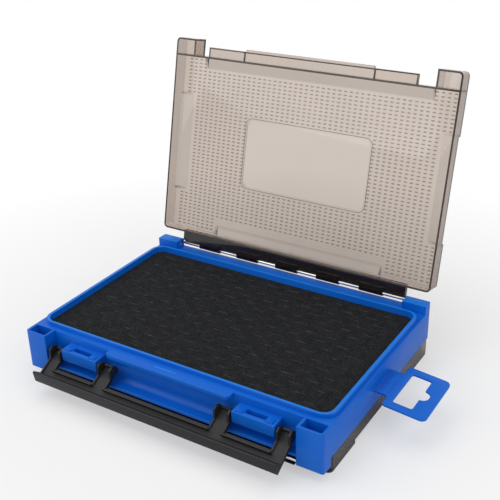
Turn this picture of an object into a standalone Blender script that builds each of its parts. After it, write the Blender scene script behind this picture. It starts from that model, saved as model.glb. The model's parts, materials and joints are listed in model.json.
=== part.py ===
"""Double-sided tackle box, with its upper side open.

Metres, +Z up. X runs across the box and Y from its front to its rear. The origin is under the
middle of the box, at the height of the lower lid's outer face. The lower side is the upper side
turned half round about the X axis through the middle of the tray.

Positions below are given from the front face of the columns (y) and from the upper ledge (z).
"""

import math

import bmesh
import bpy
from mathutils import Matrix, Vector

# Whole box
box_width = 0.2050
box_depth = 0.1450
tray_height = 0.0200
lid_height = 0.0120
fit_gap = 0.0003
overlap = 0.0010
overrun = 0.0020
corner_steps = 6
round_sides = 20
grid_decimals = 7
least_edge = 0.000002

# Tray
recess_depth = 0.0089
column_width = 0.0158
column_drop = 0.0057
column_wall = 0.0016
column_round = 0.0015
plan_round = 0.0025
lip_height = 0.0026
lip_front = 0.0122
lip_side = 0.0020
lip_round = 0.0080
cavity_front = 0.0138
cavity_side = 0.0040
cavity_round = 0.0065
floor_thickness = 0.0016

# Latch blocks on the tray
block_width = 0.0265
block_top = 0.0050
block_bottom = 0.0135
block_round = 0.0025
block_edge_round = 0.0006
slot_width = 0.0130
slot_front = 0.0024
slot_depth = 0.0035
slot_deep = 0.0060
ramp_width = 0.0045
ramp_front = 0.0009
ramp_back = 0.0070
ramp_rise = 0.0008
ramp_space = 0.0006
pin_hole_radius = 0.0016
pin_hole_depth = 0.0024

# Middle ledge on the tray, and the web along the foot of its front
shelf_block_gap = 0.0043
shelf_front = 0.0035
shelf_thickness = 0.0023
shelf_round = 0.0030
web_front = 0.0005
web_thickness = 0.0016
web_round = 0.0045
web_edge_round = 0.0005

# Lids
lid_side_inset = 0.0005
lid_rear_inset = 0.0101
lid_front_inset = 0.0018
lid_wall = 0.0012
lid_round = 0.0030
lid_block_lap = 0.0005
bevel_drop = 0.0026
side_bevel_reach = 0.0102
side_bevel_front_margin = 0.0280
side_bevel_rear_margin = 0.0294
front_bevel_reach = 0.0088
front_bevel_margin = 0.0042
rear_bevel_reach = 0.0074
rear_bevel_margin = 0.0390
label_side_margin = 0.0560
label_front_margin = 0.0388
label_rear_margin = 0.0389
label_round = 0.0050
label_sink = 0.0004
flange_thickness = 0.0016
front_flange_edge = 0.0042
front_tab_gap = 0.0012
front_tab_edge = 0.0028
front_tab_round = 0.0010

# Hinges
hinge_inset = 0.0016
hinge_height = 0.0033
rod_radius = 0.0009
rod_stub = 0.0014
bore_radius = 0.0011
knuckle_radius = 0.0018
knuckle_width = 0.0166
knuckle_margin = 0.0147
knuckle_root = 0.0040
knuckle_numbers = (-2, -1, 0, 1, 2)
rear_flange_end_gap = 0.0012
rear_flange_space = 0.0018
rear_cover_gap = 0.0002
rear_cover_thickness = 0.0010
rear_cover_round = 0.0004

# Latch bars, closed: reaches run back from the outer face, and the rest up from the pivot
pivot_inset = 0.0030
pivot_drop = 0.0097
latch_end_gap = 0.0031
latch_skin = 0.0013
plate_start = 0.0100
plate_end = 0.0210
rim_width = 0.0011
rim_rise = 0.0023
hook_start = 0.0118
hook_thickness = 0.0010
hook_reach = 0.0044
nose_start = 0.0157
nose_root = 0.00215
nose_tip = 0.0185
nose_reach = 0.0098
nose_top = 0.0214
nose_top_reach = 0.0022
nose_round = 0.0008
outer_arm_width = 0.0086
outer_arm_gap = 0.0012
inner_arm_width = 0.0100
inner_arm_gap = 0.0013
arm_back = 0.0030
arm_back_rise = 0.0040
arm_top_start = 0.0009
arm_top_end = 0.0019
arm_rise = 0.0069
arm_front = 0.0051
arm_round = 0.0012
pin_radius = 0.0013
pin_end_gap = 0.0003

# Hanger tab
tab_hinge_space = 0.0025
neck_reach = 0.0085
neck_half_width = 0.0120
neck_round = 0.0015
shoulder_round = 0.0020
tab_reach = 0.0339
tab_half_width = 0.0204
tab_thickness = 0.0012
tab_round = 0.0035
hole_start = 0.0125
hole_end = 0.0243
hole_half_width = 0.0151
hole_round = 0.0015
notch_end = 0.0284
notch_half_width = 0.0048
notch_round = 0.0040
notch_mouth_round = 0.0008

# Foam pads
pad_drop = 0.0010

# Poses in the photograph, from closed, in degrees
lid_open = -103
upper_latch_open = 121
lower_latch_ajar = 25
tab_droop = 5.8

front_y = -box_depth / 2
middle_z = lid_height + tray_height / 2
ledge_z = middle_z + tray_height / 2
half_width = box_width / 2
column_inner = half_width - column_width
cavity_half_width = half_width - cavity_side
cavity_rear = box_depth - cavity_front
floor_top = -tray_height / 2 + floor_thickness / 2
hinge_y = box_depth - hinge_inset
rod_half_length = column_inner + column_wall + rod_stub
latch_half_width = column_inner - latch_end_gap
arm_outer_start = latch_half_width - outer_arm_width
block_outer = arm_outer_start - outer_arm_gap
block_inner = block_outer - block_width
block_middle = (block_outer + block_inner) / 2
arm_inner_end = block_inner - inner_arm_gap
arm_inner_start = arm_inner_end - inner_arm_width
shelf_half_width = block_inner - shelf_block_gap
lid_half_width = half_width - lid_side_inset
lid_rear = box_depth - lid_rear_inset
lid_front = recess_depth + lid_front_inset
lid_block_inner = column_inner - lid_block_lap
front_tab_half_width = block_inner - front_tab_gap
rear_flange_half_width = column_inner - rear_flange_end_gap
knuckle_reach = rear_flange_half_width - knuckle_margin - knuckle_width / 2
knuckle_pitch = knuckle_reach / max(knuckle_numbers)
rear_cover_low = hinge_height + bore_radius + rear_cover_gap
rear_cover_high = rear_cover_low + rear_cover_thickness
half_turn = Matrix.Translation((0, 0, 2 * middle_z)) @ Matrix.Diagonal((1, -1, -1, 1))


def clear_scene():
    """Removes whatever the new scene holds."""
    for obj in list(bpy.data.objects):
        bpy.data.objects.remove(obj, do_unlink=True)


def collection(name, hidden=False):
    group = bpy.data.collections.new(name)
    group.hide_render = hidden
    bpy.context.scene.collection.children.link(group)
    return group


def material(name, colour, roughness, metallic=0.0, alpha=1.0):
    made = bpy.data.materials.new(name)
    made.use_nodes = True
    shader = made.node_tree.nodes["Principled BSDF"]
    shader.inputs["Base Color"].default_value = (*colour, 1.0)
    shader.inputs["Roughness"].default_value = roughness
    shader.inputs["Metallic"].default_value = metallic
    shader.inputs["Alpha"].default_value = alpha
    return made


def place(x, y, z):
    """The world point at x, y behind the columns' front face, and z above the upper ledge."""
    return Vector((x, front_y + y, ledge_z + z))


def snap(mesh):
    """Puts every corner on a fine grid, so that faces meant to lie together do."""
    for vert in mesh.vertices:
        vert.co = [round(part, grid_decimals) for part in vert.co]


def object_of(name, shape, group):
    bmesh.ops.recalc_face_normals(shape, faces=shape.faces)
    mesh = bpy.data.meshes.new(name)
    shape.to_mesh(mesh)
    shape.free()
    snap(mesh)
    obj = bpy.data.objects.new(name, mesh)
    group.objects.link(obj)
    if group.hide_render:
        obj.hide_render = True
        obj.display_type = "WIRE"
    return obj


def prism(name, outline, low, high, axis, group):
    """A solid with this outline from low to high along the axis.

    Across X the outline holds (y, z) points, along Y (x, z) points, and up Z (x, y) points.
    """
    orders = {
        "X": lambda a, b, along: place(along, a, b),
        "Y": lambda a, b, along: place(a, along, b),
        "Z": lambda a, b, along: place(a, b, along),
    }
    point = orders[axis]
    shape = bmesh.new()
    start = [shape.verts.new(point(a, b, low)) for a, b in outline]
    end = [shape.verts.new(point(a, b, high)) for a, b in outline]
    shape.faces.new(start)
    shape.faces.new(end)
    for index, vert in enumerate(start):
        shape.faces.new((start[index - 1], vert, end[index], end[index - 1]))
    return object_of(name, shape, group)


def box(name, low, high, group):
    """A block between two corners."""
    outline = [(low[0], low[1]), (high[0], low[1]), (high[0], high[1]), (low[0], high[1])]
    return prism(name, outline, low[2], high[2], "Z", group)


def cylinder(name, centre, radius, start, end, group):
    """A round bar along X about the (y, z) centre."""
    shape = bmesh.new()
    bmesh.ops.create_cone(
        shape,
        cap_ends=True,
        segments=round_sides,
        radius1=radius,
        radius2=radius,
        depth=end - start,
        matrix=Matrix.Translation(place((start + end) / 2, *centre))
        @ Matrix.Rotation(math.pi / 2, 4, "Y"),
    )
    return object_of(name, shape, group)


def rounded(corners):
    """The outline of these (a, b, radius) corners, with an arc at each that has a radius."""
    outline = []
    for index, (a, b, radius) in enumerate(corners):
        here = Vector((a, b))
        if radius == 0:
            outline.append(tuple(here))
            continue
        back = (Vector(corners[index - 1][:2]) - here).normalized()
        ahead = (Vector(corners[(index + 1) % len(corners)][:2]) - here).normalized()
        half = back.angle(ahead) / 2
        centre = here + (back + ahead).normalized() * (radius / math.sin(half))
        first = here + back * (radius / math.tan(half)) - centre
        last = here + ahead * (radius / math.tan(half)) - centre
        turn = math.atan2(first.cross(last), first.dot(last))
        for step in range(corner_steps + 1):
            arm = Matrix.Rotation(turn * step / corner_steps, 2) @ first
            outline.append(tuple(centre + arm))
    return [
        point
        for index, point in enumerate(outline)
        if (Vector(point) - Vector(outline[index - 1])).length > least_edge
    ]


def rectangle(low_a, low_b, high_a, high_b, radius):
    """The outline of a rectangle with rounded corners."""
    corners = [(low_a, low_b), (high_a, low_b), (high_a, high_b), (low_a, high_b)]
    return rounded([(a, b, radius) for a, b in corners])


def turned(obj, name):
    """A copy of the object for the lower side."""
    copy = obj.copy()
    copy.data = obj.data.copy()
    copy.name = name
    copy.data.transform(half_turn)
    snap(copy.data)
    obj.users_collection[0].objects.link(copy)
    return copy


def combine(obj, others, operation):
    """Adds the others to the object, takes them from it, or keeps only what they share with it."""
    for other in others:
        step = obj.modifiers.new(other.name, "BOOLEAN")
        step.operation = operation
        step.solver = "EXACT"
        step.object = other


def settle(obj):
    """Makes the object's modified shape its own mesh."""
    bpy.context.view_layer.update()
    graph = bpy.context.evaluated_depsgraph_get()
    shaped = bpy.data.meshes.new_from_object(obj.evaluated_get(graph))
    obj.modifiers.clear()
    obj.data = shaped


def dress(obj, finish):
    """Gives the object one material."""
    obj.data.materials.clear()
    obj.data.materials.append(finish)


def hinge_at(obj, point, degrees, axis="X"):
    """Turns the object about a joint axis through this point, and puts its origin there."""
    obj.data.transform(Matrix.Translation(-point))
    obj.data.transform(Matrix.Rotation(math.radians(degrees), 4, axis))
    obj.location = point


def front_solids(group):
    """What stands on the tray's front for its upper side: columns, lip, blocks, shelf and web."""
    recess = recess_depth
    column = rounded(
        [
            (0, 0, 0),
            (recess + overlap, 0, 0),
            (recess + overlap, -tray_height, 0),
            (recess, -tray_height, 0),
            (recess, -tray_height - column_drop, 0),
            (0, -tray_height - column_drop, column_round),
        ]
    )
    block = rounded(
        [
            (0, -block_top, block_edge_round),
            (recess + overlap, -block_top, 0),
            (recess + overlap, -block_bottom, 0),
            (0, -block_bottom, block_round),
        ]
    )
    ramp = [
        (ramp_front, -block_top - overlap),
        (ramp_front, -block_top + ramp_rise),
        (ramp_back, -block_top),
        (ramp_back, -block_top - overlap),
    ]
    shelf = rounded(
        [
            (-shelf_half_width, shelf_front, shelf_round),
            (shelf_half_width, shelf_front, shelf_round),
            (shelf_half_width, recess + overlap, 0),
            (-shelf_half_width, recess + overlap, 0),
        ]
    )
    web_top = -tray_height + web_thickness
    web = rounded(
        [
            (web_front, -tray_height, 0),
            (recess + overlap, -tray_height, 0),
            (recess + overlap, web_top + web_round + overlap, 0),
            (recess, web_top + web_round + overlap, 0),
            (recess, web_top, web_round),
            (web_front, web_top, web_edge_round),
        ]
    )
    lip = rectangle(
        -cavity_half_width - lip_side,
        lip_front,
        cavity_half_width + lip_side,
        box_depth - lip_front,
        lip_round,
    )
    solids = [prism("lip", lip, -overlap, lip_height, "Z", group)]
    solids.append(prism("shelf", shelf, -shelf_thickness, 0, "Z", group))
    web_half_width = column_inner + overlap
    solids.append(prism("web", web, -web_half_width, web_half_width, "X", group))
    for side, word in ((-1, "left"), (1, "right")):
        ends = sorted((side * half_width, side * column_inner))
        solids.append(prism("column_" + word, column, *ends, "X", group))
        middle = side * block_middle
        low = middle - block_width / 2
        high = middle + block_width / 2
        solids.append(prism("block_" + word, block, low, high, "X", group))
        for hand, name in ((-1, "_ramp_left"), (1, "_ramp_right")):
            near = middle + hand * (slot_width / 2 + ramp_space)
            ends = sorted((near, near + hand * ramp_width))
            solids.append(prism(word + name, ramp, *ends, "X", group))
    return solids


def front_hollows(group):
    """What is cut from the tray for its upper side: cavity, pockets, slots and pin holes."""
    cavity = rectangle(
        -cavity_half_width, cavity_front, cavity_half_width, cavity_rear, cavity_round
    )
    hollows = [prism("cavity", cavity, floor_top, lip_height + overrun, "Z", group)]
    pocket_bottom = -tray_height + column_wall
    rod_centre = (hinge_inset, -tray_height - hinge_height)
    for side, word in ((-1, "left"), (1, "right")):
        outer = side * (half_width - column_wall)
        inner = side * (column_inner + column_wall)
        low, high = sorted((outer, inner))
        hollows.append(
            box(
                "pocket_" + word,
                (low, column_wall, pocket_bottom),
                (high, recess_depth, overrun),
                group,
            )
        )
        ends = sorted(
            (
                side * (column_inner - overrun),
                side * (rod_half_length + fit_gap),
            )
        )
        hollows.append(cylinder("rod_hole_" + word, rod_centre, bore_radius, *ends, group))
        middle = side * block_middle
        hollows.append(
            box(
                "slot_" + word,
                (middle - slot_width / 2, slot_front, -block_top - slot_deep),
                (middle + slot_width / 2, slot_front + slot_depth, -block_top + overrun),
                group,
            )
        )
        for hand, name in ((-1, "_pin_left"), (1, "_pin_right")):
            face = middle + hand * block_width / 2
            ends = sorted((face + hand * overrun, face - hand * pin_hole_depth))
            centre = (pivot_inset, -pivot_drop)
            hollows.append(cylinder(word + name, centre, pin_hole_radius, *ends, group))
    return hollows


def make_tray(group, cutters):
    tray = box(
        "tray_body",
        (-half_width, recess_depth, -tray_height),
        (half_width, box_depth - recess_depth, 0),
        group,
    )
    solids = front_solids(cutters)
    solids += [turned(obj, obj.name + "_lower") for obj in solids]
    hollows = front_hollows(cutters)
    hollows += [turned(obj, obj.name + "_lower") for obj in hollows]
    root = box(
        "hanger_root",
        (
            half_width - overlap,
            box_depth / 2 - neck_half_width,
            -tray_height / 2 - tab_thickness / 2,
        ),
        (
            half_width + tab_hinge_space - tab_thickness / 2 - fit_gap,
            box_depth / 2 + neck_half_width,
            -tray_height / 2 + tab_thickness / 2,
        ),
        cutters,
    )
    plan = prism(
        "plan",
        rectangle(-half_width, 0, half_width, box_depth, plan_round),
        -tray_height - column_drop - overrun,
        column_drop + overrun,
        "Z",
        cutters,
    )
    combine(tray, solids, "UNION")
    combine(tray, [plan], "INTERSECT")
    combine(tray, hollows, "DIFFERENCE")
    combine(tray, [root], "UNION")
    settle(tray)
    return tray


def lid_form(name, inset, low, group, cutters):
    """The closed lid as a solid, with every outer face moved in by the inset."""
    side = lid_half_width - inset
    rear = lid_rear - inset
    front = lid_front + inset
    block = lid_block_inner + inset
    top = lid_height - inset
    radius = lid_round - inset
    outline = rounded(
        [
            (-side, inset, radius),
            (-block, inset, 0),
            (-block, front, 0),
            (block, front, 0),
            (block, inset, 0),
            (side, inset, radius),
            (side, rear, radius),
            (-side, rear, radius),
        ]
    )
    form = prism(name, outline, low, top, "Z", group)
    across = side_bevel_reach + overrun
    side_slope = bevel_drop / side_bevel_reach
    start = lid_front + side_bevel_front_margin - inset
    end = lid_rear - side_bevel_rear_margin + inset
    bevels = []
    for hand, word in ((-1, "_left"), (1, "_right")):
        inner = hand * (lid_half_width - side_bevel_reach)
        outer = inner + hand * across
        wedge = [(inner, top), (outer, top - across * side_slope), (outer, top + overrun)]
        wedge.append((inner, top + overrun))
        bevels.append(prism(name + word, wedge, start, end, "Y", cutters))
    front_span = lid_block_inner - front_bevel_margin
    rear_span = lid_half_width - rear_bevel_margin
    for edge, reach, span, hand, word in (
        (lid_front, front_bevel_reach, front_span, -1, "_front"),
        (lid_rear, rear_bevel_reach, rear_span, 1, "_rear"),
    ):
        inner = edge - hand * reach
        across = reach + overrun
        outer = inner + hand * across
        wedge = [(inner, top), (outer, top - across * bevel_drop / reach), (outer, top + overrun)]
        wedge.append((inner, top + overrun))
        bevels.append(prism(name + word, wedge, -span - inset, span + inset, "X", cutters))
    combine(form, bevels, "DIFFERENCE")
    settle(form)
    return form


def make_lid(group, cutters):
    """The lid in its closed place over the upper side."""
    rim = fit_gap
    lid = lid_form("upper_lid", 0, rim, group, cutters)
    inside = lid_form("lid_inside", lid_wall, rim - overrun, cutters, cutters)
    label_side = lid_half_width - label_side_margin
    label = rectangle(
        -label_side,
        lid_front + label_front_margin,
        label_side,
        lid_rear - label_rear_margin,
        label_round,
    )
    ceiling = lid_height - lid_wall
    sunk = prism("label", label, ceiling - overrun, ceiling + label_sink, "Z", cutters)
    flange = box(
        "front_flange",
        (-arm_outer_start, front_flange_edge, rim),
        (arm_outer_start, lid_front + lid_wall / 2, rim + flange_thickness),
        cutters,
    )
    outline = rounded(
        [
            (-front_tab_half_width, front_tab_edge, front_tab_round),
            (front_tab_half_width, front_tab_edge, front_tab_round),
            (front_tab_half_width, front_flange_edge + overlap, 0),
            (-front_tab_half_width, front_flange_edge + overlap, 0),
        ]
    )
    tab = prism("front_tab", outline, rim, rim + flange_thickness, "Z", cutters)
    start = lid_rear - lid_wall / 2
    step = hinge_y - rear_flange_space
    low = hinge_height - flange_thickness / 2
    outline = rounded(
        [
            (start, low, 0),
            (step, low, 0),
            (step, rear_cover_low, 0),
            (box_depth, rear_cover_low, 0),
            (box_depth, rear_cover_high, rear_cover_round),
            (start, rear_cover_high, 0),
        ]
    )
    ends = (-rear_flange_half_width, rear_flange_half_width)
    rear_flange = prism("rear_flange", outline, *ends, "X", cutters)
    knuckle = rounded(
        [
            (hinge_y - knuckle_root, hinge_height - knuckle_radius, 0),
            (hinge_y + knuckle_radius, hinge_height - knuckle_radius, knuckle_radius),
            (hinge_y + knuckle_radius, hinge_height + knuckle_radius, knuckle_radius),
            (hinge_y - knuckle_root, hinge_height + knuckle_radius, 0),
        ]
    )
    added = [flange, tab, rear_flange]
    for hand, word in ((-1, "_left"), (1, "_right")):
        near = hand * (lid_block_inner + overlap)
        ends = sorted((near, hand * (lid_half_width - lid_wall / 2)))
        added.append(
            box(
                "block_wall" + word,
                (ends[0], lid_front, rim),
                (ends[1], lid_front + lid_wall, lid_height - lid_wall / 2),
                cutters,
            )
        )
    for number in knuckle_numbers:
        middle = number * knuckle_pitch
        ends = (middle - knuckle_width / 2, middle + knuckle_width / 2)
        added.append(prism(f"knuckle_{number}", knuckle, *ends, "X", cutters))
    bore = cylinder(
        "bore",
        (hinge_y, hinge_height),
        bore_radius,
        -half_width,
        half_width,
        cutters,
    )
    combine(lid, [inside, sunk], "DIFFERENCE")
    combine(lid, added, "UNION")
    combine(lid, [bore], "DIFFERENCE")
    settle(lid)
    return lid


def make_latch(group, cutters):
    """The latch bar in its closed place over the upper side."""
    face = 0
    skin = latch_skin
    zero = -pivot_drop
    plate = rounded(
        [
            (face, zero + plate_start, 0),
            (skin, zero + plate_start, 0),
            (skin, zero + nose_start, 0),
            (nose_root, zero + nose_start, 0),
            (nose_reach, zero + nose_tip, nose_round),
            (nose_top_reach, zero + nose_top, nose_round),
            (face, zero + plate_end, 0),
        ]
    )
    latch = prism("upper_latch_bar", plate, -latch_half_width, latch_half_width, "X", group)
    arm_side = rounded(
        [
            (face, zero - arm_back, arm_round),
            (arm_back_rise, zero - arm_back, arm_round),
            (arm_rise, zero - arm_top_start, arm_round),
            (arm_rise, zero + arm_top_end, arm_round),
            (rim_rise, zero + arm_front, 0),
            (rim_rise, zero + plate_start + overlap, 0),
            (face, zero + plate_start + overlap, 0),
        ]
    )
    hook_end = hook_start + hook_thickness
    hook = [
        (skin - overlap, zero + hook_start),
        (hook_reach, zero + hook_start),
        (hook_reach, zero + hook_end),
        (skin - overlap, zero + hook_end),
    ]
    added = []
    arms = (
        (arm_outer_start, latch_half_width),
        (arm_inner_start, arm_inner_end),
    )
    for side, word in ((-1, "left"), (1, "right")):
        for number, (near, far) in enumerate(arms):
            name = f"arm_{word}_{number}"
            walls = ((near, near + rim_width), (far - rim_width, far))
            for wall, ends in enumerate(walls):
                ends = sorted(side * end for end in ends)
                added.append(prism(f"{name}_wall_{wall}", arm_side, *ends, "X", cutters))
            low, high = sorted((side * near, side * far))
            added.append(
                box(
                    name + "_floor",
                    (low, face, zero - arm_back + arm_round),
                    (high, skin, zero + plate_start + overlap),
                    cutters,
                )
            )
            added.append(
                box(
                    name + "_back",
                    (low, arm_round, zero - arm_back),
                    (high, arm_back_rise - arm_round, zero - arm_back + rim_width),
                    cutters,
                )
            )
            chamfer = [
                (arm_round, zero - arm_back),
                (arm_round, zero - arm_back + rim_width),
                (skin, zero - arm_back + arm_round + overlap),
                (face, zero - arm_back + arm_round + overlap),
                (face, zero - arm_back + arm_round),
            ]
            added.append(prism(name + "_heel", chamfer, low, high, "X", cutters))
        block_near = block_inner + pin_hole_depth - pin_end_gap
        block_far = block_outer - pin_hole_depth + pin_end_gap
        for pin, ends in enumerate(
            (
                (arm_inner_end - rim_width / 2, block_near),
                (block_far, arm_outer_start + rim_width / 2),
            )
        ):
            ends = sorted(side * end for end in ends)
            centre = (pivot_inset, -pivot_drop)
            added.append(cylinder(f"pin_{word}_{pin}", centre, pin_radius, *ends, cutters))
        ends = sorted((side * (arm_inner_end - overlap), side * (arm_outer_start + overlap)))
        added.append(prism("hook_" + word, hook, *ends, "X", cutters))
        rim_ends = sorted((side * (latch_half_width - rim_width), side * latch_half_width))
        added.append(
            box(
                "end_rim_" + word,
                (rim_ends[0], face, zero + plate_start),
                (rim_ends[1], rim_rise, zero + nose_start + overlap),
                cutters,
            )
        )
    middle = arm_inner_start + overlap
    added.append(prism("hook_middle", hook, -middle, middle, "X", cutters))
    combine(latch, added, "UNION")
    settle(latch)
    return latch


def make_pad(group):
    side = cavity_half_width - fit_gap
    outline = rectangle(
        -side,
        cavity_front + fit_gap,
        side,
        cavity_rear - fit_gap,
        cavity_round - fit_gap,
    )
    return prism("upper_foam_pad", outline, floor_top + fit_gap, -pad_drop, "Z", group)


def make_tab(group, cutters):
    """The hanger tab, level with the stub on the right side that its neck hangs from."""
    hinge_x = half_width + tab_hinge_space
    middle = box_depth / 2
    low = -tray_height / 2 - tab_thickness / 2
    high = -tray_height / 2 + tab_thickness / 2
    end = half_width + tab_reach
    shoulder = half_width + neck_reach
    outline = rounded(
        [
            (hinge_x, middle - neck_half_width, 0),
            (shoulder, middle - neck_half_width, neck_round),
            (shoulder, middle - tab_half_width, shoulder_round),
            (end, middle - tab_half_width, tab_round),
            (end, middle + tab_half_width, tab_round),
            (shoulder, middle + tab_half_width, shoulder_round),
            (shoulder, middle + neck_half_width, neck_round),
            (hinge_x, middle + neck_half_width, 0),
        ]
    )
    tab = prism("hanger_tab", outline, low, high, "Z", group)
    half_hole = hole_half_width
    near = half_width + hole_start
    far = half_width + hole_end
    notch = half_width + notch_end
    hole = rounded(
        [
            (near, middle - half_hole, hole_round),
            (far, middle - half_hole, hole_round),
            (far, middle - notch_half_width, notch_mouth_round),
            (notch, middle - notch_half_width, notch_round),
            (notch, middle + notch_half_width, notch_round),
            (far, middle + notch_half_width, notch_mouth_round),
            (far, middle + half_hole, hole_round),
            (near, middle + half_hole, hole_round),
        ]
    )
    cut = prism("euro_hole", hole, low - overrun, high + overrun, "Z", cutters)
    radius = tab_thickness / 2
    round_root = rounded(
        [
            (hinge_x - radius, low, radius),
            (hinge_x + overlap, low, 0),
            (hinge_x + overlap, high, 0),
            (hinge_x - radius, high, radius),
        ]
    )
    ends = (middle - neck_half_width, middle + neck_half_width)
    root = prism("round_root", round_root, *ends, "Y", cutters)
    combine(tab, [root], "UNION")
    combine(tab, [cut], "DIFFERENCE")
    settle(tab)
    return tab


def main():
    clear_scene()
    group = collection("Tackle box")
    cutters = collection("Tackle box cutters", hidden=True)
    blue = material("Blue polypropylene", (0.01, 0.13, 0.70), 0.35)
    smoke = material("Smoke tinted plastic", (0.16, 0.13, 0.11), 0.10, alpha=0.45)
    steel = material("Bright steel wire", (0.72, 0.72, 0.74), 0.25, metallic=1.0)
    black = material("Black plastic", (0.03, 0.03, 0.03), 0.45)
    foam = material("Dark foam", (0.015, 0.015, 0.017), 0.95)

    upper_hinge = place(0, hinge_y, hinge_height)
    lower_hinge = place(0, hinge_inset, -tray_height - hinge_height)
    upper_pivot = place(0, pivot_inset, -pivot_drop)
    lower_pivot = place(0, box_depth - pivot_inset, pivot_drop - tray_height)
    tab_hinge = place(half_width + tab_hinge_space, box_depth / 2, -tray_height / 2)

    tray = make_tray(group, cutters)
    dress(tray, blue)

    lid = make_lid(group, cutters)
    lower_lid = turned(lid, "lower_lid")
    hinge_at(lid, upper_hinge, lid_open)
    hinge_at(lower_lid, lower_hinge, 0)

    latch = make_latch(group, cutters)
    lower_latch = turned(latch, "lower_latch_bar")
    hinge_at(latch, upper_pivot, upper_latch_open)
    hinge_at(lower_latch, lower_pivot, lower_latch_ajar)

    rod = cylinder(
        "upper_hinge_rod",
        (hinge_y, hinge_height),
        rod_radius,
        -rod_half_length,
        rod_half_length,
        group,
    )
    lower_rod = turned(rod, "lower_hinge_rod")

    pad = make_pad(group)
    lower_pad = turned(pad, "lower_foam_pad")

    tab = make_tab(group, cutters)
    hinge_at(tab, tab_hinge, tab_droop, "Y")

    for obj, finish in (
        (lid, smoke),
        (lower_lid, smoke),
        (latch, black),
        (lower_latch, black),
        (rod, steel),
        (lower_rod, steel),
        (pad, foam),
        (lower_pad, foam),
        (tab, blue),
    ):
        dress(obj, finish)


main()
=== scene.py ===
"""Double-sided tackle box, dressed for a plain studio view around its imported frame."""

import json
import logging
import math
from dataclasses import dataclass
from enum import Enum
from typing import Callable, Iterable, Iterator, Sequence

import bmesh
import bpy
from mathutils import Matrix, Vector, noise

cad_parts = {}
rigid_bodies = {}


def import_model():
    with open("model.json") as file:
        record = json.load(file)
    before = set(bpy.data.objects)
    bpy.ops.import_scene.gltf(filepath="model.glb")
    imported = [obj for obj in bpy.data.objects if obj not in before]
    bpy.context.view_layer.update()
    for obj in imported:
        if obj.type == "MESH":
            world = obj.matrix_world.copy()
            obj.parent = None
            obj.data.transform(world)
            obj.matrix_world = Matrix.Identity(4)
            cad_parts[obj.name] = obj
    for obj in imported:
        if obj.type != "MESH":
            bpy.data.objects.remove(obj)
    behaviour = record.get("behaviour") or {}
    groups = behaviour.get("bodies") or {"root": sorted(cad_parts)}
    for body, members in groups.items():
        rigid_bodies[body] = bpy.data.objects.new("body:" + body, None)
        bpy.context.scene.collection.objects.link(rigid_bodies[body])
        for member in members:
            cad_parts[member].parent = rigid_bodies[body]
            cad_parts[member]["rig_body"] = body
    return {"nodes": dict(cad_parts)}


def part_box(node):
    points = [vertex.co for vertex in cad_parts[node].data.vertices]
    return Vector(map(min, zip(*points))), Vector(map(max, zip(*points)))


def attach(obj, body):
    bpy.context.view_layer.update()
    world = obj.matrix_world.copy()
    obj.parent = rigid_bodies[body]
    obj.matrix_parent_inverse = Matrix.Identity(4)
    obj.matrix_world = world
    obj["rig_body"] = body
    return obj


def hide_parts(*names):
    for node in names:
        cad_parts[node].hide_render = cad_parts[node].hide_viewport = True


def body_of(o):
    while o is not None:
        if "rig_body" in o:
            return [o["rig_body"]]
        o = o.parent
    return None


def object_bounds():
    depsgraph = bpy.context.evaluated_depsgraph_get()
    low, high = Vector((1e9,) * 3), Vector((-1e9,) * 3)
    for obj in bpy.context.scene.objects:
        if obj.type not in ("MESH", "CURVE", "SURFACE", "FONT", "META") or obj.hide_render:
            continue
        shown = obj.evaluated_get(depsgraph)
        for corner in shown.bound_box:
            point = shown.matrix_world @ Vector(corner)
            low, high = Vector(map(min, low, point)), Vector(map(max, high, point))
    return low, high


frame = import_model()
cad_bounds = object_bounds()

log = logging.getLogger("tackle_box")

Colour = tuple[float, float, float]
Place = tuple[float, float, float]
Socket = bpy.types.NodeSocket
WHITE = (1.0, 1.0, 1.0, 1.0)

# The distance at which points are one, and the angles at which faces are flat, creased or rounded
MERGE = 1e-6
FLAT = math.radians(1.0)
CREASE = math.radians(28.0)
ROUNDED = math.radians(25.0)

# How finely round details are made
EDGE_SEGMENTS = 3
BLOCK_SEGMENTS = 2
STUD_SIDES = 20
STUD_TOP = 0.85

# The attributes that the finishes read from a piece's faces: the share of painted shade and the share
# of painted highlight
PAINTED_SHADE = "painted_shade"
PAINTED_HIGHLIGHT = "light"


class Side(Enum):
    """The two faces of the box, each with its own lid, latch bar, rod and foam."""

    UPPER = "upper"
    LOWER = "lower"


class Rounding(Enum):
    """What a rounding works on."""

    EDGES = "EDGES"
    CORNERS = "VERTICES"


# Shared sizes


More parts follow.
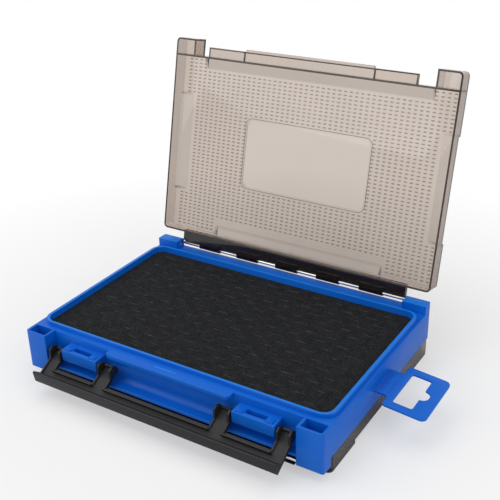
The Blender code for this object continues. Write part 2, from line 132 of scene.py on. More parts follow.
@dataclass(frozen=True)
class BoxSizes:
    """Sizes that more than one sub-assembly uses, as the frame has them, in metres."""

    width: float = 0.2050
    depth: float = 0.1450
    tray_height: float = 0.0200
    lid_height: float = 0.0120
    hinge_inset: float = 0.0016
    hinge_height: float = 0.0033
    pivot_inset: float = 0.0030
    pivot_drop: float = 0.0097
    lid_open: float = -103.0
    upper_latch_open: float = 121.0
    lower_latch_ajar: float = 25.0

    @property
    def middle_z(self) -> float:
        """Height of the middle of the tray."""
        return self.lid_height + self.tray_height / 2

    @property
    def ledge_z(self) -> float:
        """Height of the upper ledge."""
        return self.middle_z + self.tray_height / 2

    def point(self, x: float, y: float, z: float) -> Vector:
        """The world point at x, y behind the front face and z above the upper ledge."""
        return Vector((x, y - self.depth / 2, self.ledge_z + z))

    def half_turn(self) -> Matrix:
        """The turn about X that carries the upper side onto the lower one."""
        centre = Matrix.Translation((0, 0, self.middle_z))
        return centre @ Matrix.Rotation(math.pi, 4, "X") @ centre.inverted()

    def turned_about(self, centre: Vector, degrees: float) -> Matrix:
        """A turn about the line along X through the centre.

        Args:
            centre: A point on the joint's axis.
            degrees: The angle of the turn.

        Returns:
            The matrix of the turn.
        """
        move = Matrix.Translation(centre)
        return move @ Matrix.Rotation(math.radians(degrees), 4, "X") @ move.inverted()

    def tray_place(self, side: Side) -> Matrix:
        """Carries a detail of the tray's upper side to this side."""
        return Matrix.Identity(4) if side is Side.UPPER else self.half_turn()

    def lid_place(self, side: Side) -> Matrix:
        """Carries a detail of the closed upper lid to where this side's lid is at rest.

        Args:
            side: The side of the box.

        Returns:
            The matrix that carries it.
        """
        hinge = self.point(0, self.depth - self.hinge_inset, self.hinge_height)
        if side is Side.LOWER:
            return self.half_turn()
        return self.turned_about(hinge, self.lid_open)

    def latch_place(self, side: Side) -> Matrix:
        """Carries a detail of the closed upper latch bar to this side's bar at rest.

        Args:
            side: The side of the box.

        Returns:
            The matrix that carries it.
        """
        pivot = self.point(0, self.pivot_inset, -self.pivot_drop)
        if side is Side.UPPER:
            return self.turned_about(pivot, self.upper_latch_open)
        turned = self.half_turn()
        return self.turned_about(turned @ pivot, self.lower_latch_ajar) @ turned


BOX = BoxSizes()


# Mesh tools


def object_from(name: str, shape: bmesh.types.BMesh, smooth: bool = True) -> bpy.types.Object:
    """Makes an object at the origin from a bmesh, and frees the bmesh.

    Args:
        name: The piece's name.
        shape: The finished shape, in world places.
        smooth: Whether its faces are shaded smooth.

    Returns:
        The new object, linked to the scene.
    """
    bmesh.ops.remove_doubles(shape, verts=shape.verts, dist=MERGE)
    bmesh.ops.recalc_face_normals(shape, faces=shape.faces)
    mesh = bpy.data.meshes.new(name)
    shape.to_mesh(mesh)
    shape.free()
    if smooth:
        mesh.shade_smooth()
    obj = bpy.data.objects.new(name, mesh)
    bpy.context.scene.collection.objects.link(obj)
    return obj


def add_block(
    shape: bmesh.types.BMesh, low: Vector, high: Vector, place: Matrix
) -> list[bmesh.types.BMVert]:
    """Adds a block between two corners.

    Args:
        shape: The bmesh that takes the block.
        low: Its lowest corner.
        high: Its highest corner.
        place: The matrix that carries it to its place.

    Returns:
        The block's vertices.
    """
    scale = Matrix.Diagonal((*(high - low), 1.0))
    matrix = place @ Matrix.Translation((low + high) / 2) @ scale
    return bmesh.ops.create_cube(shape, size=1.0, matrix=matrix)["verts"]


def round_off(
    shape: bmesh.types.BMesh,
    chosen: Iterable[bmesh.types.BMEdge | bmesh.types.BMVert],
    width: float,
    segments: int,
    kind: Rounding = Rounding.EDGES,
) -> None:
    """Rounds chosen edges or corners of a shape.

    Args:
        shape: The bmesh.
        chosen: The edges, or the corners' vertices, to round.
        width: The reach of the rounding on each face.
        segments: How many steps the rounding has.
        kind: Whether it rounds edges or corners.
    """
    bmesh.ops.bevel(
        shape,
        geom=list(chosen),
        offset=width,
        segments=segments,
        profile=0.5,
        affect=kind.value,
        material=-1,
    )


def add_bevelled_block(
    shape: bmesh.types.BMesh, low: Vector, high: Vector, place: Matrix, width: float
) -> None:
    """Adds a block with rounded edges.

    Args:
        shape: The bmesh that takes the block.
        low: Its lowest corner.
        high: Its highest corner.
        place: The matrix that carries it to its place.
        width: The reach of the rounding on each face.
    """
    verts = add_block(shape, low, high, place)
    edges = {edge for vert in verts for edge in vert.link_edges}
    round_off(shape, edges, width, BLOCK_SEGMENTS)


def add_stud(shape: bmesh.types.BMesh, radius: float, height: float, place: Matrix) -> None:
    """Adds a low round stud with a narrower top, with its axis on Z and its middle on the origin.

    Args:
        shape: The bmesh that takes the stud.
        radius: The radius at its foot.
        height: Its height.
        place: The matrix that carries it to its place.
    """
    bmesh.ops.create_cone(
        shape,
        cap_ends=True,
        segments=STUD_SIDES,
        radius1=radius,
        radius2=radius * STUD_TOP,
        depth=height,
        matrix=place,
    )


def frame_copy(node: str) -> bmesh.types.BMesh:
    """Copies a node's mesh and joins its loose triangles into clean faces.

    Args:
        node: The frame's node.

    Returns:
        The copy's bmesh.
    """
    shape = bmesh.new()
    shape.from_mesh(frame["nodes"][node].data)
    bmesh.ops.remove_doubles(shape, verts=shape.verts, dist=MERGE)
    bmesh.ops.dissolve_limit(shape, angle_limit=FLAT, verts=shape.verts, edges=shape.edges)
    return shape


def mark_faces(
    obj: bpy.types.Object, name: str, share: Callable[[bpy.types.MeshPolygon], float]
) -> None:
    """Gives each face of a piece a share that its finish reads as an attribute.

    Args:
        obj: The piece.
        name: The attribute's name.
        share: Works out a face's share, from 0 to 1.
    """
    marks = obj.data.attributes.new(name, "FLOAT", "FACE")
    for face in obj.data.polygons:
        marks.data[face.index].value = share(face)


def stand_for(obj: bpy.types.Object, node: str) -> bpy.types.Object:
    """Makes a copy ride on its node's body and stand for the node.

    Args:
        obj: The copy.
        node: The frame's node.

    Returns:
        The copy.
    """
    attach(obj, body_of(frame["nodes"][node])[0])
    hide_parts(node)
    return obj


def clear_copy(node: str) -> bpy.types.Object:
    """A copy of a clear node, whose faces bend light as flat ones do.

    Args:
        node: The frame's node.

    Returns:
        The copy, riding on the node's body.
    """
    shape = frame_copy(node)
    for edge in shape.edges:
        edge.smooth = len(edge.link_faces) == 2 and edge.calc_face_angle() < CREASE
    obj = object_from(f"{node}_moulding", shape)
    step = obj.modifiers.new("flat faces", "WEIGHTED_NORMAL")
    step.keep_sharp = True
    return stand_for(obj, node)


def moulded_copy(node: str, width: float) -> bpy.types.Object:
    """A copy of a node with the eased edges of a moulding.

    Args:
        node: The frame's node.
        width: The most that the rounding reaches on each face.

    Returns:
        The copy, riding on the node's body.
    """
    obj = object_from(f"{node}_moulding", frame_copy(node))
    step = obj.modifiers.new("rounded edges", "BEVEL")
    step.width = width
    step.segments = EDGE_SEGMENTS
    step.limit_method = "ANGLE"
    step.angle_limit = ROUNDED
    step.harden_normals = True
    return stand_for(obj, node)


# Node groups


class Tree:
    """A node tree with short calls to add and join its nodes."""

    def __init__(self, tree: bpy.types.NodeTree) -> None:
        """Keeps the tree."""
        self.tree = tree

    def add(self, kind: str, **values: object) -> bpy.types.Node:
        """Adds a node and sets its own properties.

        Args:
            kind: The node's kind, without the words that all kinds share.
            values: Its properties by name.

        Returns:
            The node.
        """
        node = self.tree.nodes.new("ShaderNode" + kind)
        for name, value in values.items():
            setattr(node, name, value)
        return node

    def join(self, source: Socket, target: Socket) -> None:
        """Links an output to an input."""
        self.tree.links.new(source, target)

    def feed(self, socket: Socket, value: Socket | float | Sequence[float]) -> None:
        """Gives an input a link or a value.

        Args:
            socket: The input.
            value: An output to link, or a plain value.
        """
        if isinstance(value, bpy.types.NodeSocket):
            self.join(value, socket)
        else:
            socket.default_value = value

    def maths(self, operation: str, *values: Socket | float) -> Socket:
        """Adds a Math node.

        Args:
            operation: Its operation.
            values: Its inputs, in order.

        Returns:
            Its output.
        """
        node = self.add("Math", operation=operation)
        for socket, value in zip(node.inputs, values):
            self.feed(socket, value)
        return node.outputs[0]

    def blend(
        self, share: Socket | float, first: Socket | Sequence[float], second: Socket | Sequence[float]
    ) -> Socket:
        """Mixes two colours.

        Args:
            share: How much of the second colour there is.
            first: The first colour.
            second: The second colour.

        Returns:
            The mixed colour.
        """
        node = self.add("Mix", data_type="RGBA")
        self.feed(node.inputs[0], share)
        self.feed(node.inputs[6], first)
        self.feed(node.inputs[7], second)
        return node.outputs[2]

    def noise(self, vector: Socket, scale: Socket | float, detail: float) -> Socket:
        """Adds a Noise Texture.

        Args:
            vector: Its coordinates.
            scale: Its scale.
            detail: Its detail.

        Returns:
            Its Factor output.
        """
        node = self.add("TexNoise")
        self.join(vector, node.inputs["Vector"])
        self.feed(node.inputs["Scale"], scale)
        node.inputs["Detail"].default_value = detail
        return node.outputs[0]

    def ramp(self, value: Socket, low: float, high: float) -> Socket:
        """Stretches the range from low to high over 0 to 1.

        Args:
            value: The value to stretch.
            low: What becomes 0.
            high: What becomes 1.

        Returns:
            The clamped result.
        """
        node = self.add("MapRange")
        self.join(value, node.inputs["Value"])
        node.inputs["From Min"].default_value = low
        node.inputs["From Max"].default_value = high
        return node.outputs["Result"]


def new_group(name: str, inputs: dict[str, float], outputs: Sequence[str]) -> tuple[Tree, dict, dict]:
    """Starts a node group.

    Args:
        name: The group's name.
        inputs: Its number inputs, with their defaults.
        outputs: Its number outputs.

    Returns:
        The group's tree, its inputs as sockets inside, and its outputs as sockets inside.
    """
    made = bpy.data.node_groups.new(name, "ShaderNodeTree")
    for key, value in inputs.items():
        socket = made.interface.new_socket(key, in_out="INPUT", socket_type="NodeSocketFloat")
        socket.default_value = value
    for key in outputs:
        made.interface.new_socket(key, in_out="OUTPUT", socket_type="NodeSocketFloat")
    start = made.nodes.new("NodeGroupInput")
    end = made.nodes.new("NodeGroupOutput")
    inside = {key: start.outputs[key] for key in inputs}
    return Tree(made), inside, {key: end.inputs[key] for key in outputs}


@dataclass(frozen=True)
class EffectSizes:
    """Scales and ranges inside the shared node groups."""

    grain_detail: float = 3.0
    wave_scale: float = 60.0
    wave_detail: float = 1.0
    smudge_detail: float = 4.0
    smudge_range: tuple[float, float] = (0.35, 0.65)
    line_detail: float = 2.0
    line_range: tuple[float, float] = (0.58, 0.74)
    line_stretch: tuple[float, float, float] = (0.04, 1.0, 1.0)
    line_turn: tuple[float, float, float] = (0.0, 0.0, 0.2)


class SharedEffects:
    """The node groups that several finishes place in their materials."""

    sizes = EffectSizes()

    def __init__(self) -> None:
        """Builds each group once."""
        self.grain = self.build_grain()
        self.handling = self.build_handling()
        self.scratches = self.build_scratches()

    def build_grain(self) -> bpy.types.NodeTree:
        """Fine grain of a mould, over a slow waviness.

        Returns:
            The group, with a Height output.
        """
        tree, given, out = new_group("moulded grain", {"Scale": 900.0, "Waviness": 0.3}, ["Height"])
        coordinates = tree.add("TexCoord").outputs["Object"]
        fine = tree.noise(coordinates, given["Scale"], self.sizes.grain_detail)
        slow = tree.noise(coordinates, self.sizes.wave_scale, self.sizes.wave_detail)
        share = tree.maths("SUBTRACT", 1.0, given["Waviness"])
        part = tree.maths("MULTIPLY", fine, share)
        tree.join(tree.maths("MULTIPLY_ADD", slow, given["Waviness"], part), out["Height"])
        return tree.tree

    def build_handling(self) -> bpy.types.NodeTree:
        """Soft smudges from handling.

        Returns:
            The group, with a Mask output from 0 to 1.
        """
        tree, given, out = new_group("handling marks", {"Scale": 22.0, "Cover": 0.5}, ["Mask"])
        coordinates = tree.add("TexCoord").outputs["Object"]
        cloud = tree.noise(coordinates, given["Scale"], self.sizes.smudge_detail)
        spread = tree.maths("ADD", cloud, tree.maths("SUBTRACT", given["Cover"], 0.5))
        tree.join(tree.ramp(spread, *self.sizes.smudge_range), out["Mask"])
        return tree.tree

    def build_scratches(self) -> bpy.types.NodeTree:
        """Fine rubbed lines, stretched along X.

        Returns:
            The group, with a Mask output from 0 to 1.
        """
        tree, given, out = new_group("rubbed lines", {"Scale": 260.0, "Cover": 0.5}, ["Mask"])
        mapping = tree.add("Mapping")
        tree.join(tree.add("TexCoord").outputs["Object"], mapping.inputs["Vector"])
        mapping.inputs["Scale"].default_value = self.sizes.line_stretch
        mapping.inputs["Rotation"].default_value = self.sizes.line_turn
        lines = tree.noise(mapping.outputs[0], given["Scale"], self.sizes.line_detail)
        spread = tree.maths("ADD", lines, tree.maths("SUBTRACT", given["Cover"], 0.5))
        tree.join(tree.ramp(spread, *self.sizes.line_range), out["Mask"])
        return tree.tree


EFFECTS = SharedEffects()


# Finishes


class Finish:
    """What every finish of the object shares."""

    name: str

    def start(self) -> tuple[Tree, bpy.types.Node, bpy.types.Material]:
        """Makes a material that has only its shader.

        Returns:
            The material's tree, its Principled BSDF and the material.
        """
        made = bpy.data.materials.new(self.name)
        made.use_nodes = True
        tree = Tree(made.node_tree)
        return tree, made.node_tree.nodes["Principled BSDF"], made

    def place(self, tree: Tree, group: bpy.types.NodeTree, **values: float) -> Socket:
        """Places a shared group and gives its inputs their values.

        Args:
            tree: The material's tree.
            group: The group.
            values: Its inputs by name.

        Returns:
            The group's only output.
        """
        node = tree.add("Group", node_tree=group)
        for key, value in values.items():
            node.inputs[key].default_value = value
        return node.outputs[0]

    def smudges(self, tree: Tree, scale: float) -> Socket:
        """Places evenly spread handling marks of a scale."""
        return self.place(tree, EFFECTS.handling, Scale=scale, Cover=0.5)

    def bump(self, tree: Tree, shader: bpy.types.Node, height: Socket, depth: float) -> None:
        """Feeds a height to the shader's normal.

        Args:
            tree: The material's tree.
            shader: The shader.
            height: The height, from 0 to 1.
            depth: The height of 1, in metres.
        """
        node = tree.add("Bump")
        node.inputs["Strength"].default_value = 1.0
        node.inputs["Distance"].default_value = depth
        tree.join(height, node.inputs["Height"])
        tree.join(node.outputs[0], shader.inputs["Normal"])


@dataclass(frozen=True)
class MouldedPlastic(Finish):
    """Solid coloured plastic from a fine-grained mould, with an optional lighter colour for painted
    highlights.
    """

    name: str
    colour: Colour
    rubbed: Colour
    roughness: float
    shine: float
    polish: float
    grain_scale: float
    grain_depth: float
    marks: float
    # The lighter colour of painted highlights, taken by faces with a painted highlight share
    light: Colour | None = None
    smudge_scale: float = 24.0
    smudge_share: float = 0.16
    line_scale: float = 420.0
    line_share: float = 0.35
    waviness: float = 0.35

    def material(self) -> bpy.types.Material:
        """Builds the finish's material.

        Returns:
            The material.
        """
        tree, shader, made = self.start()
        smudge = self.smudges(tree, self.smudge_scale)
        lines = self.place(tree, EFFECTS.scratches, Scale=self.line_scale, Cover=self.marks)
        worn = tree.maths("MULTIPLY", lines, self.line_share)
        drift = tree.maths("MULTIPLY_ADD", smudge, self.smudge_share, worn)
        colour = tree.blend(drift, (*self.colour, 1.0), (*self.rubbed, 1.0))
        # Faces blend towards the lighter colour by their share of painted highlight
        if self.light is not None:
            marked = tree.add("Attribute", attribute_name=PAINTED_HIGHLIGHT)
            colour = tree.blend(marked.outputs["Fac"], colour, (*self.light, 1.0))
        tree.join(colour, shader.inputs["Base Color"])
        rough = tree.maths("MULTIPLY_ADD", smudge, self.polish, self.roughness)
        tree.join(rough, shader.inputs["Roughness"])
        grain = self.place(tree, EFFECTS.grain, Scale=self.grain_scale, Waviness=self.waviness)
        self.bump(tree, shader, grain, self.grain_depth)
        shader.inputs["Specular IOR Level"].default_value = self.shine
        return made


@dataclass(frozen=True)
class SmokedPlastic(Finish):
    """Clear plastic with a brown smoke tint, darker where it is thicker, and with painted shade on
    faces by their painted shade share.
    """

    name: str
    skin: Colour
    # The dark colour of painted shade, for faces that look dark through the clear plastic
    painted_shade: Colour
    tint: Colour
    density: float
    roughness: float
    bending: float = 1.49
    smudge_scale: float = 18.0
    smudge_tone: float = 0.96
    smudge_rough: float = 0.02
    wave_scale: float = 160.0
    waviness: float = 0.8
    wave_depth: float = 0.00002

    def material(self) -> bpy.types.Material:
        """Builds the finish's material.

        Returns:
            The material.
        """
        tree, shader, made = self.start()
        shader.inputs["Transmission Weight"].default_value = 1.0
        shader.inputs["IOR"].default_value = self.bending
        smudge = self.smudges(tree, self.smudge_scale)
        rubbed = tuple(part * self.smudge_tone for part in self.skin)
        plain = tree.blend(smudge, (*self.skin, 1.0), (*rubbed, 1.0))
        # Faces blend towards the dark colour by their share of painted shade
        marked = tree.add("Attribute", attribute_name=PAINTED_SHADE)
        colour = tree.blend(marked.outputs["Fac"], plain, (*self.painted_shade, 1.0))
        tree.join(colour, shader.inputs["Base Color"])
        rough = tree.maths("MULTIPLY_ADD", smudge, self.smudge_rough, self.roughness)
        tree.join(rough, shader.inputs["Roughness"])
        wave = self.place(tree, EFFECTS.grain, Scale=self.wave_scale, Waviness=self.waviness)
        self.bump(tree, shader, wave, self.wave_depth)
        body = tree.add("VolumeAbsorption")
        body.inputs["Color"].default_value = (*self.tint, 1.0)
        body.inputs["Density"].default_value = self.density
        tree.join(body.outputs[0], tree.tree.nodes["Material Output"].inputs["Volume"])
        return made


@dataclass(frozen=True)
class DrawnSteel(Finish):
    """Bright steel wire with drawing lines round it."""

    name: str
    colour: Colour
    roughness: float
    smudge_scale: float = 60.0
    smudge_tone: float = 0.72
    line_scale: float = 1400.0
    line_cover: float = 0.6
    line_rough: float = 0.18
    line_depth: float = 0.000008

    def material(self) -> bpy.types.Material:
        """Builds the finish's material.

        Returns:
            The material.
        """
        tree, shader, made = self.start()
        shader.inputs["Metallic"].default_value = 1.0
        smudge = self.smudges(tree, self.smudge_scale)
        dull = tuple(part * self.smudge_tone for part in self.colour)
        colour = tree.blend(smudge, (*self.colour, 1.0), (*dull, 1.0))
        tree.join(colour, shader.inputs["Base Color"])
        lines = self.place(tree, EFFECTS.scratches, Scale=self.line_scale, Cover=self.line_cover)
        rough = tree.maths("MULTIPLY_ADD", lines, self.line_rough, self.roughness)
        tree.join(rough, shader.inputs["Roughness"])
        self.bump(tree, shader, lines, self.line_depth)
        return made


@dataclass(frozen=True)
class DarkFoam(Finish):
    """Closed-cell foam: fine cells with lighter skins that catch the light."""

    name: str
    colour: Colour
    cell_colour: Colour
    cell_scale: float
    cell_depth: float
    clump_share: float = 0.22
    clump_detail: float = 4.0
    skin_range: tuple[float, float] = (0.72, 1.35)
    roughness: float = 0.92
    skin_polish: float = -0.12
    waviness: float = 0.2
    cell_height: float = 0.6
    shine: float = 0.12

    def material(self) -> bpy.types.Material:
        """Builds the finish's material.

        Returns:
            The material.
        """
        tree, shader, made = self.start()
        coordinates = tree.add("TexCoord").outputs["Object"]
        cells = tree.add("TexVoronoi")
        tree.join(coordinates, cells.inputs["Vector"])
        cells.inputs["Scale"].default_value = self.cell_scale
        coarse = tree.noise(coordinates, self.cell_scale * self.clump_share, self.clump_detail)
        raised = tree.maths("ADD", cells.outputs["Distance"], coarse)
        skin = tree.ramp(raised, *self.skin_range)
        colour = tree.blend(skin, (*self.colour, 1.0), (*self.cell_colour, 1.0))
        tree.join(colour, shader.inputs["Base Color"])
        rough = tree.maths("MULTIPLY_ADD", skin, self.skin_polish, self.roughness)
        tree.join(rough, shader.inputs["Roughness"])
        grain = self.place(tree, EFFECTS.grain, Scale=self.cell_scale, Waviness=self.waviness)
        height = tree.maths("MULTIPLY_ADD", cells.outputs["Distance"], self.cell_height, grain)
        self.bump(tree, shader, height, self.cell_depth)
        shader.inputs["Specular IOR Level"].default_value = self.shine
        return made


@dataclass(frozen=True)
class StudioFloor(Finish):
    """A pale floor that fades to white away from the object."""

    name: str
    colour: Colour
    least_white: float
    fade_start: float
    fade_end: float
    roughness: float = 0.9
    cloud_scale: float = 40.0
    cloud_detail: float = 2.0
    cloud_tone: float = 0.985

    def material(self) -> bpy.types.Material:
        """Builds the finish's material.

        Returns:
            The material.
        """
        tree, shader, made = self.start()
        coordinates = tree.add("TexCoord").outputs["Object"]
        tone = tree.blend(
            tree.noise(coordinates, self.cloud_scale, self.cloud_detail),
            (*self.colour, 1.0),
            (*(part * self.cloud_tone for part in self.colour), 1.0),
        )
        tree.join(tone, shader.inputs["Base Color"])
        shader.inputs["Roughness"].default_value = self.roughness
        shader.inputs["Specular IOR Level"].default_value = 0.0
        reach = tree.add("VectorMath", operation="LENGTH")
        tree.join(coordinates, reach.inputs[0])
        far = tree.ramp(reach.outputs["Value"], self.fade_start, self.fade_end)
        path = tree.add("LightPath")
        bent = path.outputs["Is Glossy Ray"], path.outputs["Is Transmission Ray"]
        mirrored = tree.maths("MULTIPLY", far, tree.maths("MAXIMUM", *bent))
        white = tree.add("Emission")
        white.inputs["Color"].default_value = WHITE
        mixed = tree.add("MixShader")
        share = tree.maths("MULTIPLY_ADD", far, 1.0 - self.least_white, self.least_white)
        direct = tree.maths("MULTIPLY", share, path.outputs["Is Camera Ray"])
        tree.join(tree.maths("MAXIMUM", direct, mirrored), mixed.inputs[0])
        tree.join(shader.outputs[0], mixed.inputs[1])
        tree.join(white.outputs[0], mixed.inputs[2])
        tree.join(mixed.outputs[0], tree.tree.nodes["Material Output"].inputs["Surface"])
        return made


BLUE = MouldedPlastic(
    name="blue moulded plastic",
    colour=(0.0012, 0.125, 0.62),
    rubbed=(0.006, 0.175, 0.72),
    roughness=0.32,
    shine=0.22,
    polish=0.12,
    grain_scale=1100.0,
    grain_depth=0.00002,
    marks=0.40,
    # The lighter blue of the painted highlights on the lips' tops and the ledge marks
    light=(0.012, 0.240, 0.84),
)
BLACK = MouldedPlastic(
    name="black moulded plastic",
    colour=(0.0125, 0.0125, 0.0140),
    rubbed=(0.034, 0.034, 0.037),
    roughness=0.45,
    shine=0.30,
    polish=0.12,
    grain_scale=1500.0,
    grain_depth=0.00003,
    marks=0.46,
)
# The dark colour is painted shade on the lid's hinge strip, rim, sides, steps and slopes
SMOKE = SmokedPlastic(
    name="smoked clear plastic",
    skin=(0.725, 0.672, 0.634),
    painted_shade=(0.035, 0.035, 0.045),
    tint=(0.520, 0.375, 0.262),
    density=400.0,
    roughness=0.02,
)
# A darker skin that is painted shade on the dots, and a dark colour that is painted shade on the
# flange rib and label line
SMOKE_WITH_PAINTED_SHADE = SmokedPlastic(
    name="smoked clear plastic with painted shade",
    skin=(0.560, 0.530, 0.505),
    painted_shade=(0.080, 0.076, 0.074),
    tint=(0.520, 0.375, 0.262),
    density=400.0,
    roughness=0.10,
)
STEEL = DrawnSteel(name="bright drawn steel", colour=(0.78, 0.77, 0.75), roughness=0.16)
FOAM = DarkFoam(
    name="dark foam",
    colour=(0.0080, 0.0084, 0.0094),
    cell_colour=(0.020, 0.021, 0.023),
    cell_scale=900.0,
    cell_depth=0.00012,
)
# The lips' lighter colour is a painted highlight
FOAM_LIP_HIGHLIGHT = DarkFoam(
    name="dark foam lips with painted highlight",
    colour=(0.036, 0.037, 0.040),
    cell_colour=(0.076, 0.078, 0.082),
    cell_scale=900.0,
    cell_depth=0.00008,
)
FLOOR = StudioFloor(
    name="pale floor",
    colour=(0.93, 0.93, 0.93),
    least_white=0.45,
    fade_start=0.14,
    fade_end=0.34,
)


class Wardrobe:
    """Makes each finish's material once, and dresses pieces in it."""

    def __init__(self) -> None:
        """Starts with no material made."""
        self.made: dict[str, bpy.types.Material] = {}

    def dress(self, obj: bpy.types.Object, finish: Finish, slot: str | None = None) -> None:
        """Gives a piece its material.

        Args:
            obj: The piece.
            finish: The finish that it takes.
            slot: Not used.
        """
        if finish.name not in self.made:
            self.made[finish.name] = finish.material()
        obj.data.materials.clear()
        obj.data.materials.append(self.made[finish.name])


# Sub-assemblies


@dataclass
class Tray:
    """The blue tray, with the small moulded marks on its two ledges, and painted highlights on its
    lips' tops and on the marks.
    """

    wardrobe: Wardrobe
    edge_round: float = 0.00045
    mark_left: float = -0.0096
    mark_right: float = 0.0054
    mark_front: float = 0.0074
    mark_width: float = 0.0009
    mark_height: float = 0.00025
    tick_length: float = 0.0014
    mark_round_share: float = 0.2
    # Upward faces above lip_start take this share of painted highlight
    lip_start: float = 0.0010
    lip_highlight_share: float = 0.60
    upright: float = 0.99

    def build(self) -> list[bpy.types.Object]:
        """Builds and dresses the tray's pieces.

        Returns:
            The dressed pieces.
        """
        body = moulded_copy("tray_body", self.edge_round)
        # The lips' tops get a painted highlight in the lighter blue
        mark_faces(body, PAINTED_HIGHLIGHT, self.painted_highlight_share)
        pieces = [body] + [self.ledge_mark(side) for side in Side]
        for piece in pieces:
            self.wardrobe.dress(piece, BLUE, "tray")
        return pieces

    def painted_highlight_share(self, face: bpy.types.MeshPolygon) -> float:
        """How much painted highlight a face of the tray has: the lips' tops take the lighter blue as
        a painted highlight.

        Args:
            face: A face of the tray's moulded copy.

        Returns:
            The share of painted highlight.
        """
        start = BOX.tray_height / 2 + self.lip_start
        top = abs(face.normal.z) > self.upright and abs(face.center.z - BOX.middle_z) > start
        return self.lip_highlight_share if top else 0.0

    def ledge_mark(self, side: Side) -> bpy.types.Object:
        """The thin raised line on the middle of a side's front ledge, painted all in the lighter blue
        as a painted highlight.

        Args:
            side: The side of the box.

        Returns:
            The piece.
        """
        shape = bmesh.new()
        place = BOX.tray_place(side)
        rear = self.mark_front + self.mark_width
        tick_end = self.mark_left + self.mark_width
        for right, front in ((self.mark_right, self.mark_front), (tick_end, rear - self.tick_length)):
            low = BOX.point(self.mark_left, front, -self.mark_height)
            high = BOX.point(right, rear, self.mark_height)
            add_bevelled_block(shape, low, high, place, self.mark_width * self.mark_round_share)
        obj = object_from(f"{side.value}_ledge_mark", shape)
        # The whole mark takes the lighter blue as a painted highlight
        mark_faces(obj, PAINTED_HIGHLIGHT, lambda face: 1.0)
        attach(obj, "tray")
        return obj


